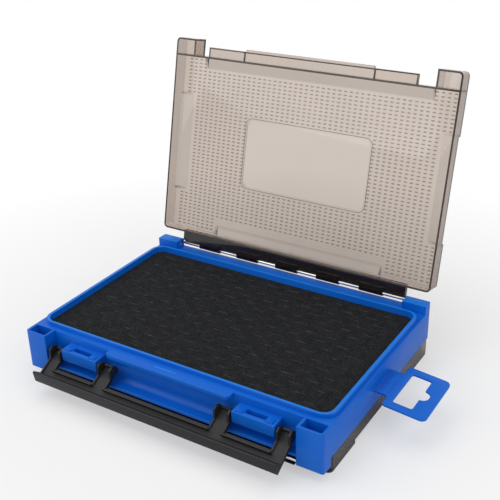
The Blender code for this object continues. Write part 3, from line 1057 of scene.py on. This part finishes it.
@dataclass
class Lid:
    """A smoked clear lid, with the field of dots inside its face and painted shade on its edges,
    steps and hinge strip.

    Each of its bevels is given by its left, front, right and rear on the closed upper lid.
    """

    wardrobe: Wardrobe
    side: Side
    half_width: float = 0.1020
    front: float = 0.0107
    rear: float = 0.1349
    ceiling: float = 0.0108
    pitch_across: float = 0.0040
    pitch_along: float = 0.0025
    dot_half_length: float = 0.00130
    dot_half_width: float = 0.00050
    dot_height: float = 0.00022
    dot_bed: float = 0.00003
    dot_sides: int = 8
    dot_foot: float = 0.88
    wall_margin: float = 0.0026
    strip_start: float = 0.0002
    wall: float = 0.0012
    # The shares of painted shade on the rim, the inner steps, the slopes and the outer sides
    rim_share: float = 0.88
    step_share: float = 0.92
    slope_share: float = 0.13
    side_share: float = 0.30
    rim: float = 0.0003
    facing: float = 0.9
    slope_range: tuple[float, float] = (0.5, 0.99)
    steep: float = 0.3
    rib_height: float = 0.00018
    rib_round_share: float = 0.4
    rib_front: float = 0.0044
    rib_rear: float = 0.0052
    flange_half_width: float = 0.0748
    tab_half_width: float = 0.0461
    stop_end: float = 0.0473
    end_start: float = 0.0740
    label_side: float = 0.0472
    label_front: float = 0.0483
    label_rear: float = 0.0972
    label_round: float = 0.0050
    label_segments: int = 8
    line_width: float = 0.00032
    line_height: float = 0.00012
    # The label line's share of painted shade
    line_share: float = 0.75
    bevels: tuple[tuple[float, float, float, float], ...] = (
        (-0.1020, 0.0375, -0.0915, 0.1067),
        (0.0915, 0.0375, 0.1020, 0.1067),
        (-0.0838, 0.0107, 0.0838, 0.0200),
        (-0.0650, 0.1225, 0.0650, 0.1349),
        (-0.1020, 0.0000, -0.0838, 0.0120),
        (0.0838, 0.0000, 0.1020, 0.0120),
    )

    def build(self) -> list[bpy.types.Object]:
        """Builds and dresses the lid's pieces.

        Returns:
            The dressed pieces.
        """
        node = f"{self.side.value}_lid"
        lid = clear_copy(node)
        self.mark_painted_shade(lid)
        self.wardrobe.dress(lid, SMOKE, "lid")
        dots = self.dot_field()
        rib = self.flange_rib()
        line = self.label_line()
        for piece in (dots, rib, line):
            # The dots, rib and line take the darker smoke as painted shade
            self.wardrobe.dress(piece, SMOKE_WITH_PAINTED_SHADE, "lid")
        return [lid, dots, rib, line]

    def label_line(self) -> bpy.types.Object:
        """The fine raised line round the plain label field, darkened with painted shade.

        Returns:
            The piece.
        """
        shape = bmesh.new()
        middle = BOX.point(0, (self.label_front + self.label_rear) / 2, self.ceiling)
        size = Matrix.Diagonal(
            (2 * self.label_side, self.label_rear - self.label_front, 1.0, 1.0)
        )
        corners = bmesh.ops.create_grid(
            shape, x_segments=1, y_segments=1, size=0.5, matrix=Matrix.Translation(middle) @ size
        )["verts"]
        round_off(shape, corners, self.label_round, self.label_segments, Rounding.CORNERS)
        ring = bmesh.ops.inset_region(
            shape, faces=shape.faces[:], thickness=self.line_width, use_boundary=True
        )["faces"]
        field_faces = [face for face in shape.faces if face not in ring]
        bmesh.ops.delete(shape, geom=field_faces, context="FACES")
        bmesh.ops.solidify(shape, geom=shape.faces[:], thickness=self.line_height)
        shape.transform(BOX.lid_place(self.side))
        obj = object_from(f"{self.side.value}_label_line", shape)
        # The line takes this share of painted shade
        mark_faces(obj, PAINTED_SHADE, lambda face: self.line_share)
        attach(obj, f"{self.side.value}_lid")
        return obj

    def mark_painted_shade(self, lid: bpy.types.Object) -> None:
        """Marks the faces that get painted shade: hinge strip, rim, outer sides, steps and slopes.

        Args:
            lid: The lid's moulded copy.
        """
        place = BOX.lid_place(self.side)
        shape = bmesh.new()
        shape.from_mesh(lid.data)
        bmesh.ops.bisect_plane(
            shape,
            geom=shape.verts[:] + shape.edges[:] + shape.faces[:],
            dist=MERGE,
            plane_co=place @ BOX.point(0, self.front, 0),
            plane_no=place.to_3x3() @ Vector((0, 1, 0)),
        )
        shape.to_mesh(lid.data)
        shape.free()
        closed = place.inverted()
        origin = BOX.point(0, 0, 0)

        def share(face: bpy.types.MeshPolygon) -> float:
            """Looks at a face as it is with the lid closed."""
            return self.painted_shade_share(closed @ face.center - origin, closed.to_3x3() @ face.normal)

        mark_faces(lid, PAINTED_SHADE, share)

    def painted_shade_share(self, centre: Vector, normal: Vector) -> float:
        """How much painted shade a face of the closed lid gets.

        Args:
            centre: The face's middle, from the box's front and upper ledge.
            normal: Its normal.

        Returns:
            The share of painted shade.
        """
        # The hinge strip behind the rear is all painted shade
        if centre.y > self.rear + self.strip_start:
            return 1.0
        if normal.z < -self.facing and centre.z < self.rim + MERGE:
            flange = centre.y < self.front and abs(centre.x) < self.flange_half_width
            return 0.0 if flange else self.rim_share
        if self.rim < centre.z and self.slope_range[0] < abs(normal.z) < self.slope_range[1]:
            return self.slope_share
        margin = 2 * self.wall
        if abs(normal.x) > self.facing and abs(centre.x) > self.half_width - self.wall / 2:
            return self.side_share
        inside = abs(centre.x) < self.half_width - margin
        inside = inside and self.front + margin < centre.y < self.rear - margin
        if abs(normal.z) > self.steep or not inside:
            return 0.0
        return self.step_share

    def flange_rib(self) -> bpy.types.Object:
        """The rib along the front flange, with a stop at each side of its tab, dark with painted
        shade.

        Returns:
            The piece.
        """
        shape = bmesh.new()
        place = BOX.lid_place(self.side)
        low_z = self.rim - self.rib_height
        high_z = self.rim + self.rib_height
        spans = [(-self.flange_half_width, self.flange_half_width, self.rib_front, self.rib_rear)]
        for side in (-1, 1):
            near, far = sorted((side * self.tab_half_width, side * self.stop_end))
            spans.append((near, far, self.rib_front, self.front))
            near, far = sorted((side * self.end_start, side * self.flange_half_width))
            spans.append((near, far, self.rib_front, self.front))
        for near, far, front, rear in spans:
            low = BOX.point(near, front, low_z)
            high = BOX.point(far, rear, high_z)
            add_bevelled_block(shape, low, high, place, self.rib_height * self.rib_round_share)
        obj = object_from(f"{self.side.value}_flange_rib", shape)
        # The whole rib is painted shade
        mark_faces(obj, PAINTED_SHADE, lambda face: 1.0)
        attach(obj, f"{self.side.value}_lid")
        return obj

    def is_plain(self, x: float, y: float) -> bool:
        """Whether the lid's face is left plain at a place."""
        label = abs(x) < self.label_side and self.label_front < y < self.label_rear
        return label or any(x0 < x < x1 and y0 < y < y1 for x0, y0, x1, y1 in self.bevels)

    def dot_places(self) -> Iterator[tuple[float, float]]:
        """Gives the middle of each dot on the closed lid.

        Returns:
            Each dot's distance from the middle and from the box's front.
        """
        columns = int((self.half_width - self.wall_margin) / self.pitch_across)
        rows = int((self.rear - self.front - 2 * self.wall_margin) / self.pitch_along)
        start = (self.front + self.rear - rows * self.pitch_along) / 2
        for column in range(-columns, columns + 1):
            for row in range(rows + 1):
                x = column * self.pitch_across
                y = start + row * self.pitch_along
                if not self.is_plain(x, y):
                    yield x, y

    def dot_field(self) -> bpy.types.Object:
        """The low oval dots that stand on the inside of the lid's face, whose darker skin is painted
        shade.

        Returns:
            The piece.
        """
        shape = bmesh.new()
        place = BOX.lid_place(self.side)
        middle_z = self.ceiling + self.dot_bed - self.dot_height / 2
        size = Matrix.Diagonal((self.dot_half_length, self.dot_half_width, 1.0, 1.0))
        for x, y in self.dot_places():
            bmesh.ops.create_cone(
                shape,
                cap_ends=True,
                segments=self.dot_sides,
                radius1=self.dot_foot,
                radius2=1.0,
                depth=self.dot_height,
                matrix=place @ Matrix.Translation(BOX.point(x, y, middle_z)) @ size,
            )
        obj = object_from(f"{self.side.value}_lid_dots", shape, smooth=False)
        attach(obj, f"{self.side.value}_lid")
        return obj


@dataclass
class HingeRod:
    """The bright wire that the lid's knuckles turn on."""

    wardrobe: Wardrobe
    side: Side
    sides: int = 32
    end_round: float = 0.0003

    def build(self) -> list[bpy.types.Object]:
        """Builds the rod by turning half its outline round its axis.

        Returns:
            The dressed pieces.
        """
        node = f"{self.side.value}_hinge_rod"
        low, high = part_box(node)
        radius = (high.z - low.z) / 2
        centre = (low + high) / 2
        outline = (
            (low.x, 0.0),
            (low.x, radius - self.end_round),
            (low.x + self.end_round, radius),
            (high.x - self.end_round, radius),
            (high.x, radius - self.end_round),
            (high.x, 0.0),
        )
        shape = bmesh.new()
        verts = [shape.verts.new((x, centre.y, centre.z + rise)) for x, rise in outline]
        edges = [shape.edges.new(pair) for pair in zip(verts, verts[1:])]
        bmesh.ops.spin(
            shape,
            geom=verts + edges,
            cent=centre,
            axis=(1.0, 0.0, 0.0),
            angle=math.tau,
            steps=self.sides,
            use_merge=True,
        )
        rod = object_from(f"{self.side.value}_hinge_wire", shape)
        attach(rod, "tray")
        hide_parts(node)
        self.wardrobe.dress(rod, STEEL, "rod")
        return [rod]


@dataclass
class LatchBar:
    """A black latch bar, with the round marks that the mould's pins leave."""

    wardrobe: Wardrobe
    side: Side
    edge_round: float = 0.00022
    face_depth: float = 0.0013
    mark_radius: float = 0.0011
    mark_height: float = 0.00012
    marks: tuple[tuple[float, float], ...] = (
        (-0.0570, 0.0138),
        (-0.0447, 0.0138),
        (-0.0029, 0.0127),
        (0.0389, 0.0136),
        (0.0785, 0.0132),
    )

    def build(self) -> list[bpy.types.Object]:
        """Builds and dresses the bar's pieces.

        Returns:
            The dressed pieces.
        """
        bar = moulded_copy(f"{self.side.value}_latch_bar", self.edge_round)
        marks = self.pin_marks()
        for piece in (bar, marks):
            self.wardrobe.dress(piece, BLACK, "latch")
        return [bar, marks]

    def pin_marks(self) -> bpy.types.Object:
        """The low round marks on the bar's inner face.

        Returns:
            The piece.
        """
        shape = bmesh.new()
        place = BOX.latch_place(self.side)
        facing_back = Matrix.Rotation(-math.pi / 2, 4, "X")
        for x, rise in self.marks:
            centre = BOX.point(x, self.face_depth, rise - BOX.pivot_drop)
            upright = place @ Matrix.Translation(centre) @ facing_back
            add_stud(shape, self.mark_radius, self.mark_height, upright)
        obj = object_from(f"{self.side.value}_latch_marks", shape, smooth=False)
        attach(obj, f"{self.side.value}_latch")
        return obj


@dataclass
class FoamPad:
    """A foam pad with rows of short slits, whose lips stand a little proud and carry a painted
    highlight.
    """

    wardrobe: Wardrobe
    side: Side
    grid: float = 0.0060
    rim_round: float = 0.0008
    unevenness: float = 0.00018
    bumps_per_metre: float = 70.0
    row_pitch: float = 0.0064
    slit_length: float = 0.0120
    slit_gap: float = 0.0046
    slit_width: float = 0.00018
    slit_depth: float = 0.0030
    lip_height: float = 0.00030
    lip_half_width: float = 0.00028
    lip_reach: float = 0.49
    lip_least: float = 0.7
    lip_swing: float = 0.6
    lips_per_metre: float = 90.0
    lip_slice: float = 0.5
    side_margin: float = 0.0085
    end_margin: float = 0.0070

    def build(self) -> list[bpy.types.Object]:
        """Builds and dresses the pad and the lips of its slits.

        Returns:
            The dressed pieces.
        """
        node = f"{self.side.value}_foam_pad"
        low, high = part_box(node)
        top = high.z if self.side is Side.UPPER else low.z
        outward = 1.0 if self.side is Side.UPPER else -1.0
        pad = self.pad(node, low, high, top, outward)
        lips = self.lips(low, high, top)
        for piece in (pad, lips):
            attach(piece, "tray")
            # The lips take the lighter foam as a painted highlight
            self.wardrobe.dress(piece, FOAM if piece is pad else FOAM_LIP_HIGHLIGHT, "foam")
        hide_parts(node)
        return [pad, lips]

    def slits(self, low: Vector, high: Vector) -> Iterator[tuple[float, float]]:
        """Gives the middle of each slit, row by row, with every other row shifted by half a pitch.

        Args:
            low: The node's lowest corner.
            high: The node's highest corner.

        Returns:
            Each slit's place in the plane of the foam.
        """
        rows = int((high.y - low.y - 2 * self.end_margin) / self.row_pitch)
        start = (low.y + high.y - rows * self.row_pitch) / 2
        pitch = self.slit_length + self.slit_gap
        span = (high.x - low.x) / 2 - self.side_margin - self.slit_length / 2
        for row in range(rows + 1):
            shift = pitch / 2 if row % 2 else 0.0
            count = int(2 * span / pitch)
            for number in range(count + 1):
                x = -count * pitch / 2 + number * pitch + shift
                if abs(x) <= span:
                    yield x, start + row * self.row_pitch

    def pad(
        self, node: str, low: Vector, high: Vector, top: float, outward: float
    ) -> bpy.types.Object:
        """The pad itself, with an uneven face that the slits are cut into.

        Args:
            node: The frame's node.
            low: The node's lowest corner.
            high: The node's highest corner.
            top: The height of its open face.
            outward: 1 where that face looks up, and -1 where it looks down.

        Returns:
            The piece.
        """
        shape = frame_copy(node)
        rim = [e for e in shape.edges if all(abs(v.co.z - top) < MERGE for v in e.verts)]
        round_off(shape, rim, self.rim_round, EDGE_SEGMENTS)
        for axis in (0, 1):
            steps = int((high[axis] - low[axis]) / self.grid)
            for step in range(1, steps):
                point = Vector((0, 0, 0))
                point[axis] = low[axis] + (high[axis] - low[axis]) * step / steps
                normal = Vector((0, 0, 0))
                normal[axis] = 1.0
                geometry = shape.verts[:] + shape.edges[:] + shape.faces[:]
                bmesh.ops.bisect_plane(
                    shape, geom=geometry, dist=MERGE, plane_co=point, plane_no=normal
                )
        for vert in shape.verts:
            if abs(vert.co.z - top) < MERGE:
                drop = 0.5 + 0.5 * noise.noise(vert.co * self.bumps_per_metre)
                vert.co.z -= outward * self.unevenness * drop
        obj = object_from(f"{self.side.value}_slit_foam", shape)
        cutter = self.cutter(low, high, top, outward)
        step = obj.modifiers.new("slits", "BOOLEAN")
        step.operation = "DIFFERENCE"
        step.solver = "EXACT"
        step.object = cutter
        bpy.context.view_layer.update()
        graph = bpy.context.evaluated_depsgraph_get()
        cut = bpy.data.meshes.new_from_object(obj.evaluated_get(graph))
        obj.modifiers.clear()
        obj.data = cut
        bpy.data.objects.remove(cutter)
        return obj

    def cutter(self, low: Vector, high: Vector, top: float, outward: float) -> bpy.types.Object:
        """The thin blades that cut all the slits.

        Args:
            low: The node's lowest corner.
            high: The node's highest corner.
            top: The height of its open face.
            outward: 1 where that face looks up, and -1 where it looks down.

        Returns:
            One object, which is removed once it has cut.
        """
        shape = bmesh.new()
        ends = sorted((top + outward * self.slit_width, top - outward * self.slit_depth))
        half = Vector((self.slit_length / 2, self.slit_width / 2, 0))
        for x, y in self.slits(low, high):
            start = Vector((x, y, ends[0])) - half
            end = Vector((x, y, ends[1])) + half
            add_block(shape, start, end, Matrix.Identity(4))
        return object_from(f"{self.side.value}_slit_blades", shape, smooth=False)

    def lips(self, low: Vector, high: Vector, top: float) -> bpy.types.Object:
        """The thin edge that stands up along the rear of each slit, dressed lighter as a painted
        highlight.

        Args:
            low: The node's lowest corner.
            high: The node's highest corner.
            top: The height of its open face.

        Returns:
            The piece.
        """
        shape = bmesh.new()
        for x, y in self.slits(low, high):
            spot = Vector((x, y, self.lip_slice)) * self.lips_per_metre
            height = self.lip_height * (self.lip_least + self.lip_swing * noise.noise(spot))
            centre = Vector((x, y + self.slit_width, top))
            half_length = self.slit_length * self.lip_reach
            size = Matrix.Diagonal((half_length, self.lip_half_width, height, 1.0))
            bmesh.ops.create_icosphere(
                shape,
                subdivisions=1,
                radius=1.0,
                matrix=Matrix.Translation(centre) @ size,
            )
        return object_from(f"{self.side.value}_slit_lips", shape)


@dataclass
class HangerTab:
    """The blue hanger tab on its thin crease."""

    wardrobe: Wardrobe
    edge_round: float = 0.00022
    crease_gap: float = 0.0025
    droop: float = 5.8
    rib_reaches: tuple[float, float] = (0.0013, 0.0050)
    rib_width: float = 0.0006
    rib_half_length: float = 0.0098
    rib_top: float = 0.00095
    rib_round_share: float = 0.3

    def build(self) -> list[bpy.types.Object]:
        """Builds and dresses the tab.

        Returns:
            The dressed pieces.
        """
        tab = moulded_copy("hanger_tab", self.edge_round)
        ribs = self.neck_ribs()
        for piece in (tab, ribs):
            self.wardrobe.dress(piece, BLUE, "tray")
        return [tab, ribs]

    def neck_ribs(self) -> bpy.types.Object:
        """The two low ribs across the neck of the tab.

        Returns:
            The piece.
        """
        shape = bmesh.new()
        crease = Vector((BOX.width / 2 + self.crease_gap, 0, BOX.middle_z))
        turn = Matrix.Rotation(math.radians(self.droop), 4, "Y")
        place = Matrix.Translation(crease) @ turn
        for reach in self.rib_reaches:
            low = Vector((reach, -self.rib_half_length, 0))
            high = Vector((reach + self.rib_width, self.rib_half_length, self.rib_top))
            add_bevelled_block(shape, low, high, place, self.rib_width * self.rib_round_share)
        obj = object_from("hanger_neck_ribs", shape)
        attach(obj, "hanger")
        return obj


# Studio


@dataclass
class Studio:
    """The floor, the lamps and the camera."""

    wardrobe: Wardrobe
    floor_size: float = 6.0
    world_light: float = 0.35
    lens: float = 63.46
    sensor: float = 36.0
    eye: Place = (0.2630, -0.3892, 0.3123)
    right: Place = (0.8503, 0.5258, -0.0240)
    up: Place = (-0.2152, 0.3891, 0.8957)
    back: Place = (0.4803, -0.7564, 0.4440)
    lamps: tuple[tuple[str, Place, float, float], ...] = (
        ("key lamp", (-0.60, -0.62, 0.70), 1.20, 5.0),
        ("fill lamp", (0.90, -0.20, 0.50), 0.90, 2.4),
        ("top lamp", (0.0, 0.05, 1.15), 1.10, 4.4),
    )

    def build(self) -> None:
        """Builds the whole studio."""
        self.build_floor()
        self.build_world()
        for name, place, size, energy in self.lamps:
            self.build_lamp(name, Vector(place), size, energy)
        self.build_camera()
        bpy.context.scene.view_settings.view_transform = "Standard"

    def build_floor(self) -> None:
        """Lays the floor under the object's lowest point."""
        shape = bmesh.new()
        height = cad_bounds[0].z
        place = Matrix.Translation((0, 0, height))
        bmesh.ops.create_grid(
            shape, x_segments=2, y_segments=2, size=self.floor_size / 2, matrix=place
        )
        floor = object_from("floor", shape)
        self.wardrobe.dress(floor, FLOOR)

    def build_world(self) -> None:
        """Lights the object evenly, and shows white to what looks past it."""
        world = bpy.data.worlds.new("studio")
        world.use_nodes = True
        tree = Tree(world.node_tree)
        sky = world.node_tree.nodes["Background"]
        sky.inputs["Color"].default_value = WHITE
        path = tree.add("LightPath")
        seen = tree.maths("MAXIMUM", path.outputs["Is Camera Ray"], path.outputs["Is Glossy Ray"])
        seen = tree.maths("MAXIMUM", seen, path.outputs["Is Transmission Ray"])
        level = tree.maths("MULTIPLY_ADD", seen, 1.0 - self.world_light, self.world_light)
        tree.join(level, sky.inputs["Strength"])
        bpy.context.scene.world = world

    def build_lamp(self, name: str, place: Vector, size: float, energy: float) -> None:
        """Hangs a square lamp that looks at the middle of the box.

        Args:
            name: The lamp's name.
            place: Where it hangs.
            size: The length of its side.
            energy: Its power, in watts.
        """
        light = bpy.data.lights.new(name, "AREA")
        light.energy = energy
        light.size = size
        lamp = bpy.data.objects.new(name, light)
        bpy.context.scene.collection.objects.link(lamp)
        aim = (Vector((0, 0, BOX.middle_z)) - place).to_track_quat("-Z", "Y")
        lamp.matrix_world = Matrix.Translation(place) @ aim.to_matrix().to_4x4()

    def build_camera(self) -> None:
        """Stands the camera where the photograph was taken from."""
        made = bpy.data.cameras.new("camera")
        made.sensor_width = self.sensor
        made.lens = self.lens
        camera = bpy.data.objects.new("camera", made)
        bpy.context.scene.collection.objects.link(camera)
        turn = Matrix((self.right, self.up, self.back)).transposed().to_4x4()
        camera.matrix_world = Matrix.Translation(self.eye) @ turn
        bpy.context.scene.camera = camera


# Whole object


def main() -> None:
    """Builds every sub-assembly in order and reports its pieces."""
    logging.basicConfig(level=logging.INFO, format="%(message)s")
    wardrobe = Wardrobe()
    parts: list[Tray | Lid | HingeRod | LatchBar | FoamPad | HangerTab] = [Tray(wardrobe)]
    for side in Side:
        parts += [Lid(wardrobe, side), HingeRod(wardrobe, side)]
        parts += [LatchBar(wardrobe, side), FoamPad(wardrobe, side)]
    parts.append(HangerTab(wardrobe))
    for part in parts:
        for piece in part.build():
            log.info("%s: %s, %d faces", type(part).__name__, piece.name, len(piece.data.polygons))
    Studio(wardrobe).build()


if __name__ == "__main__":
    main()
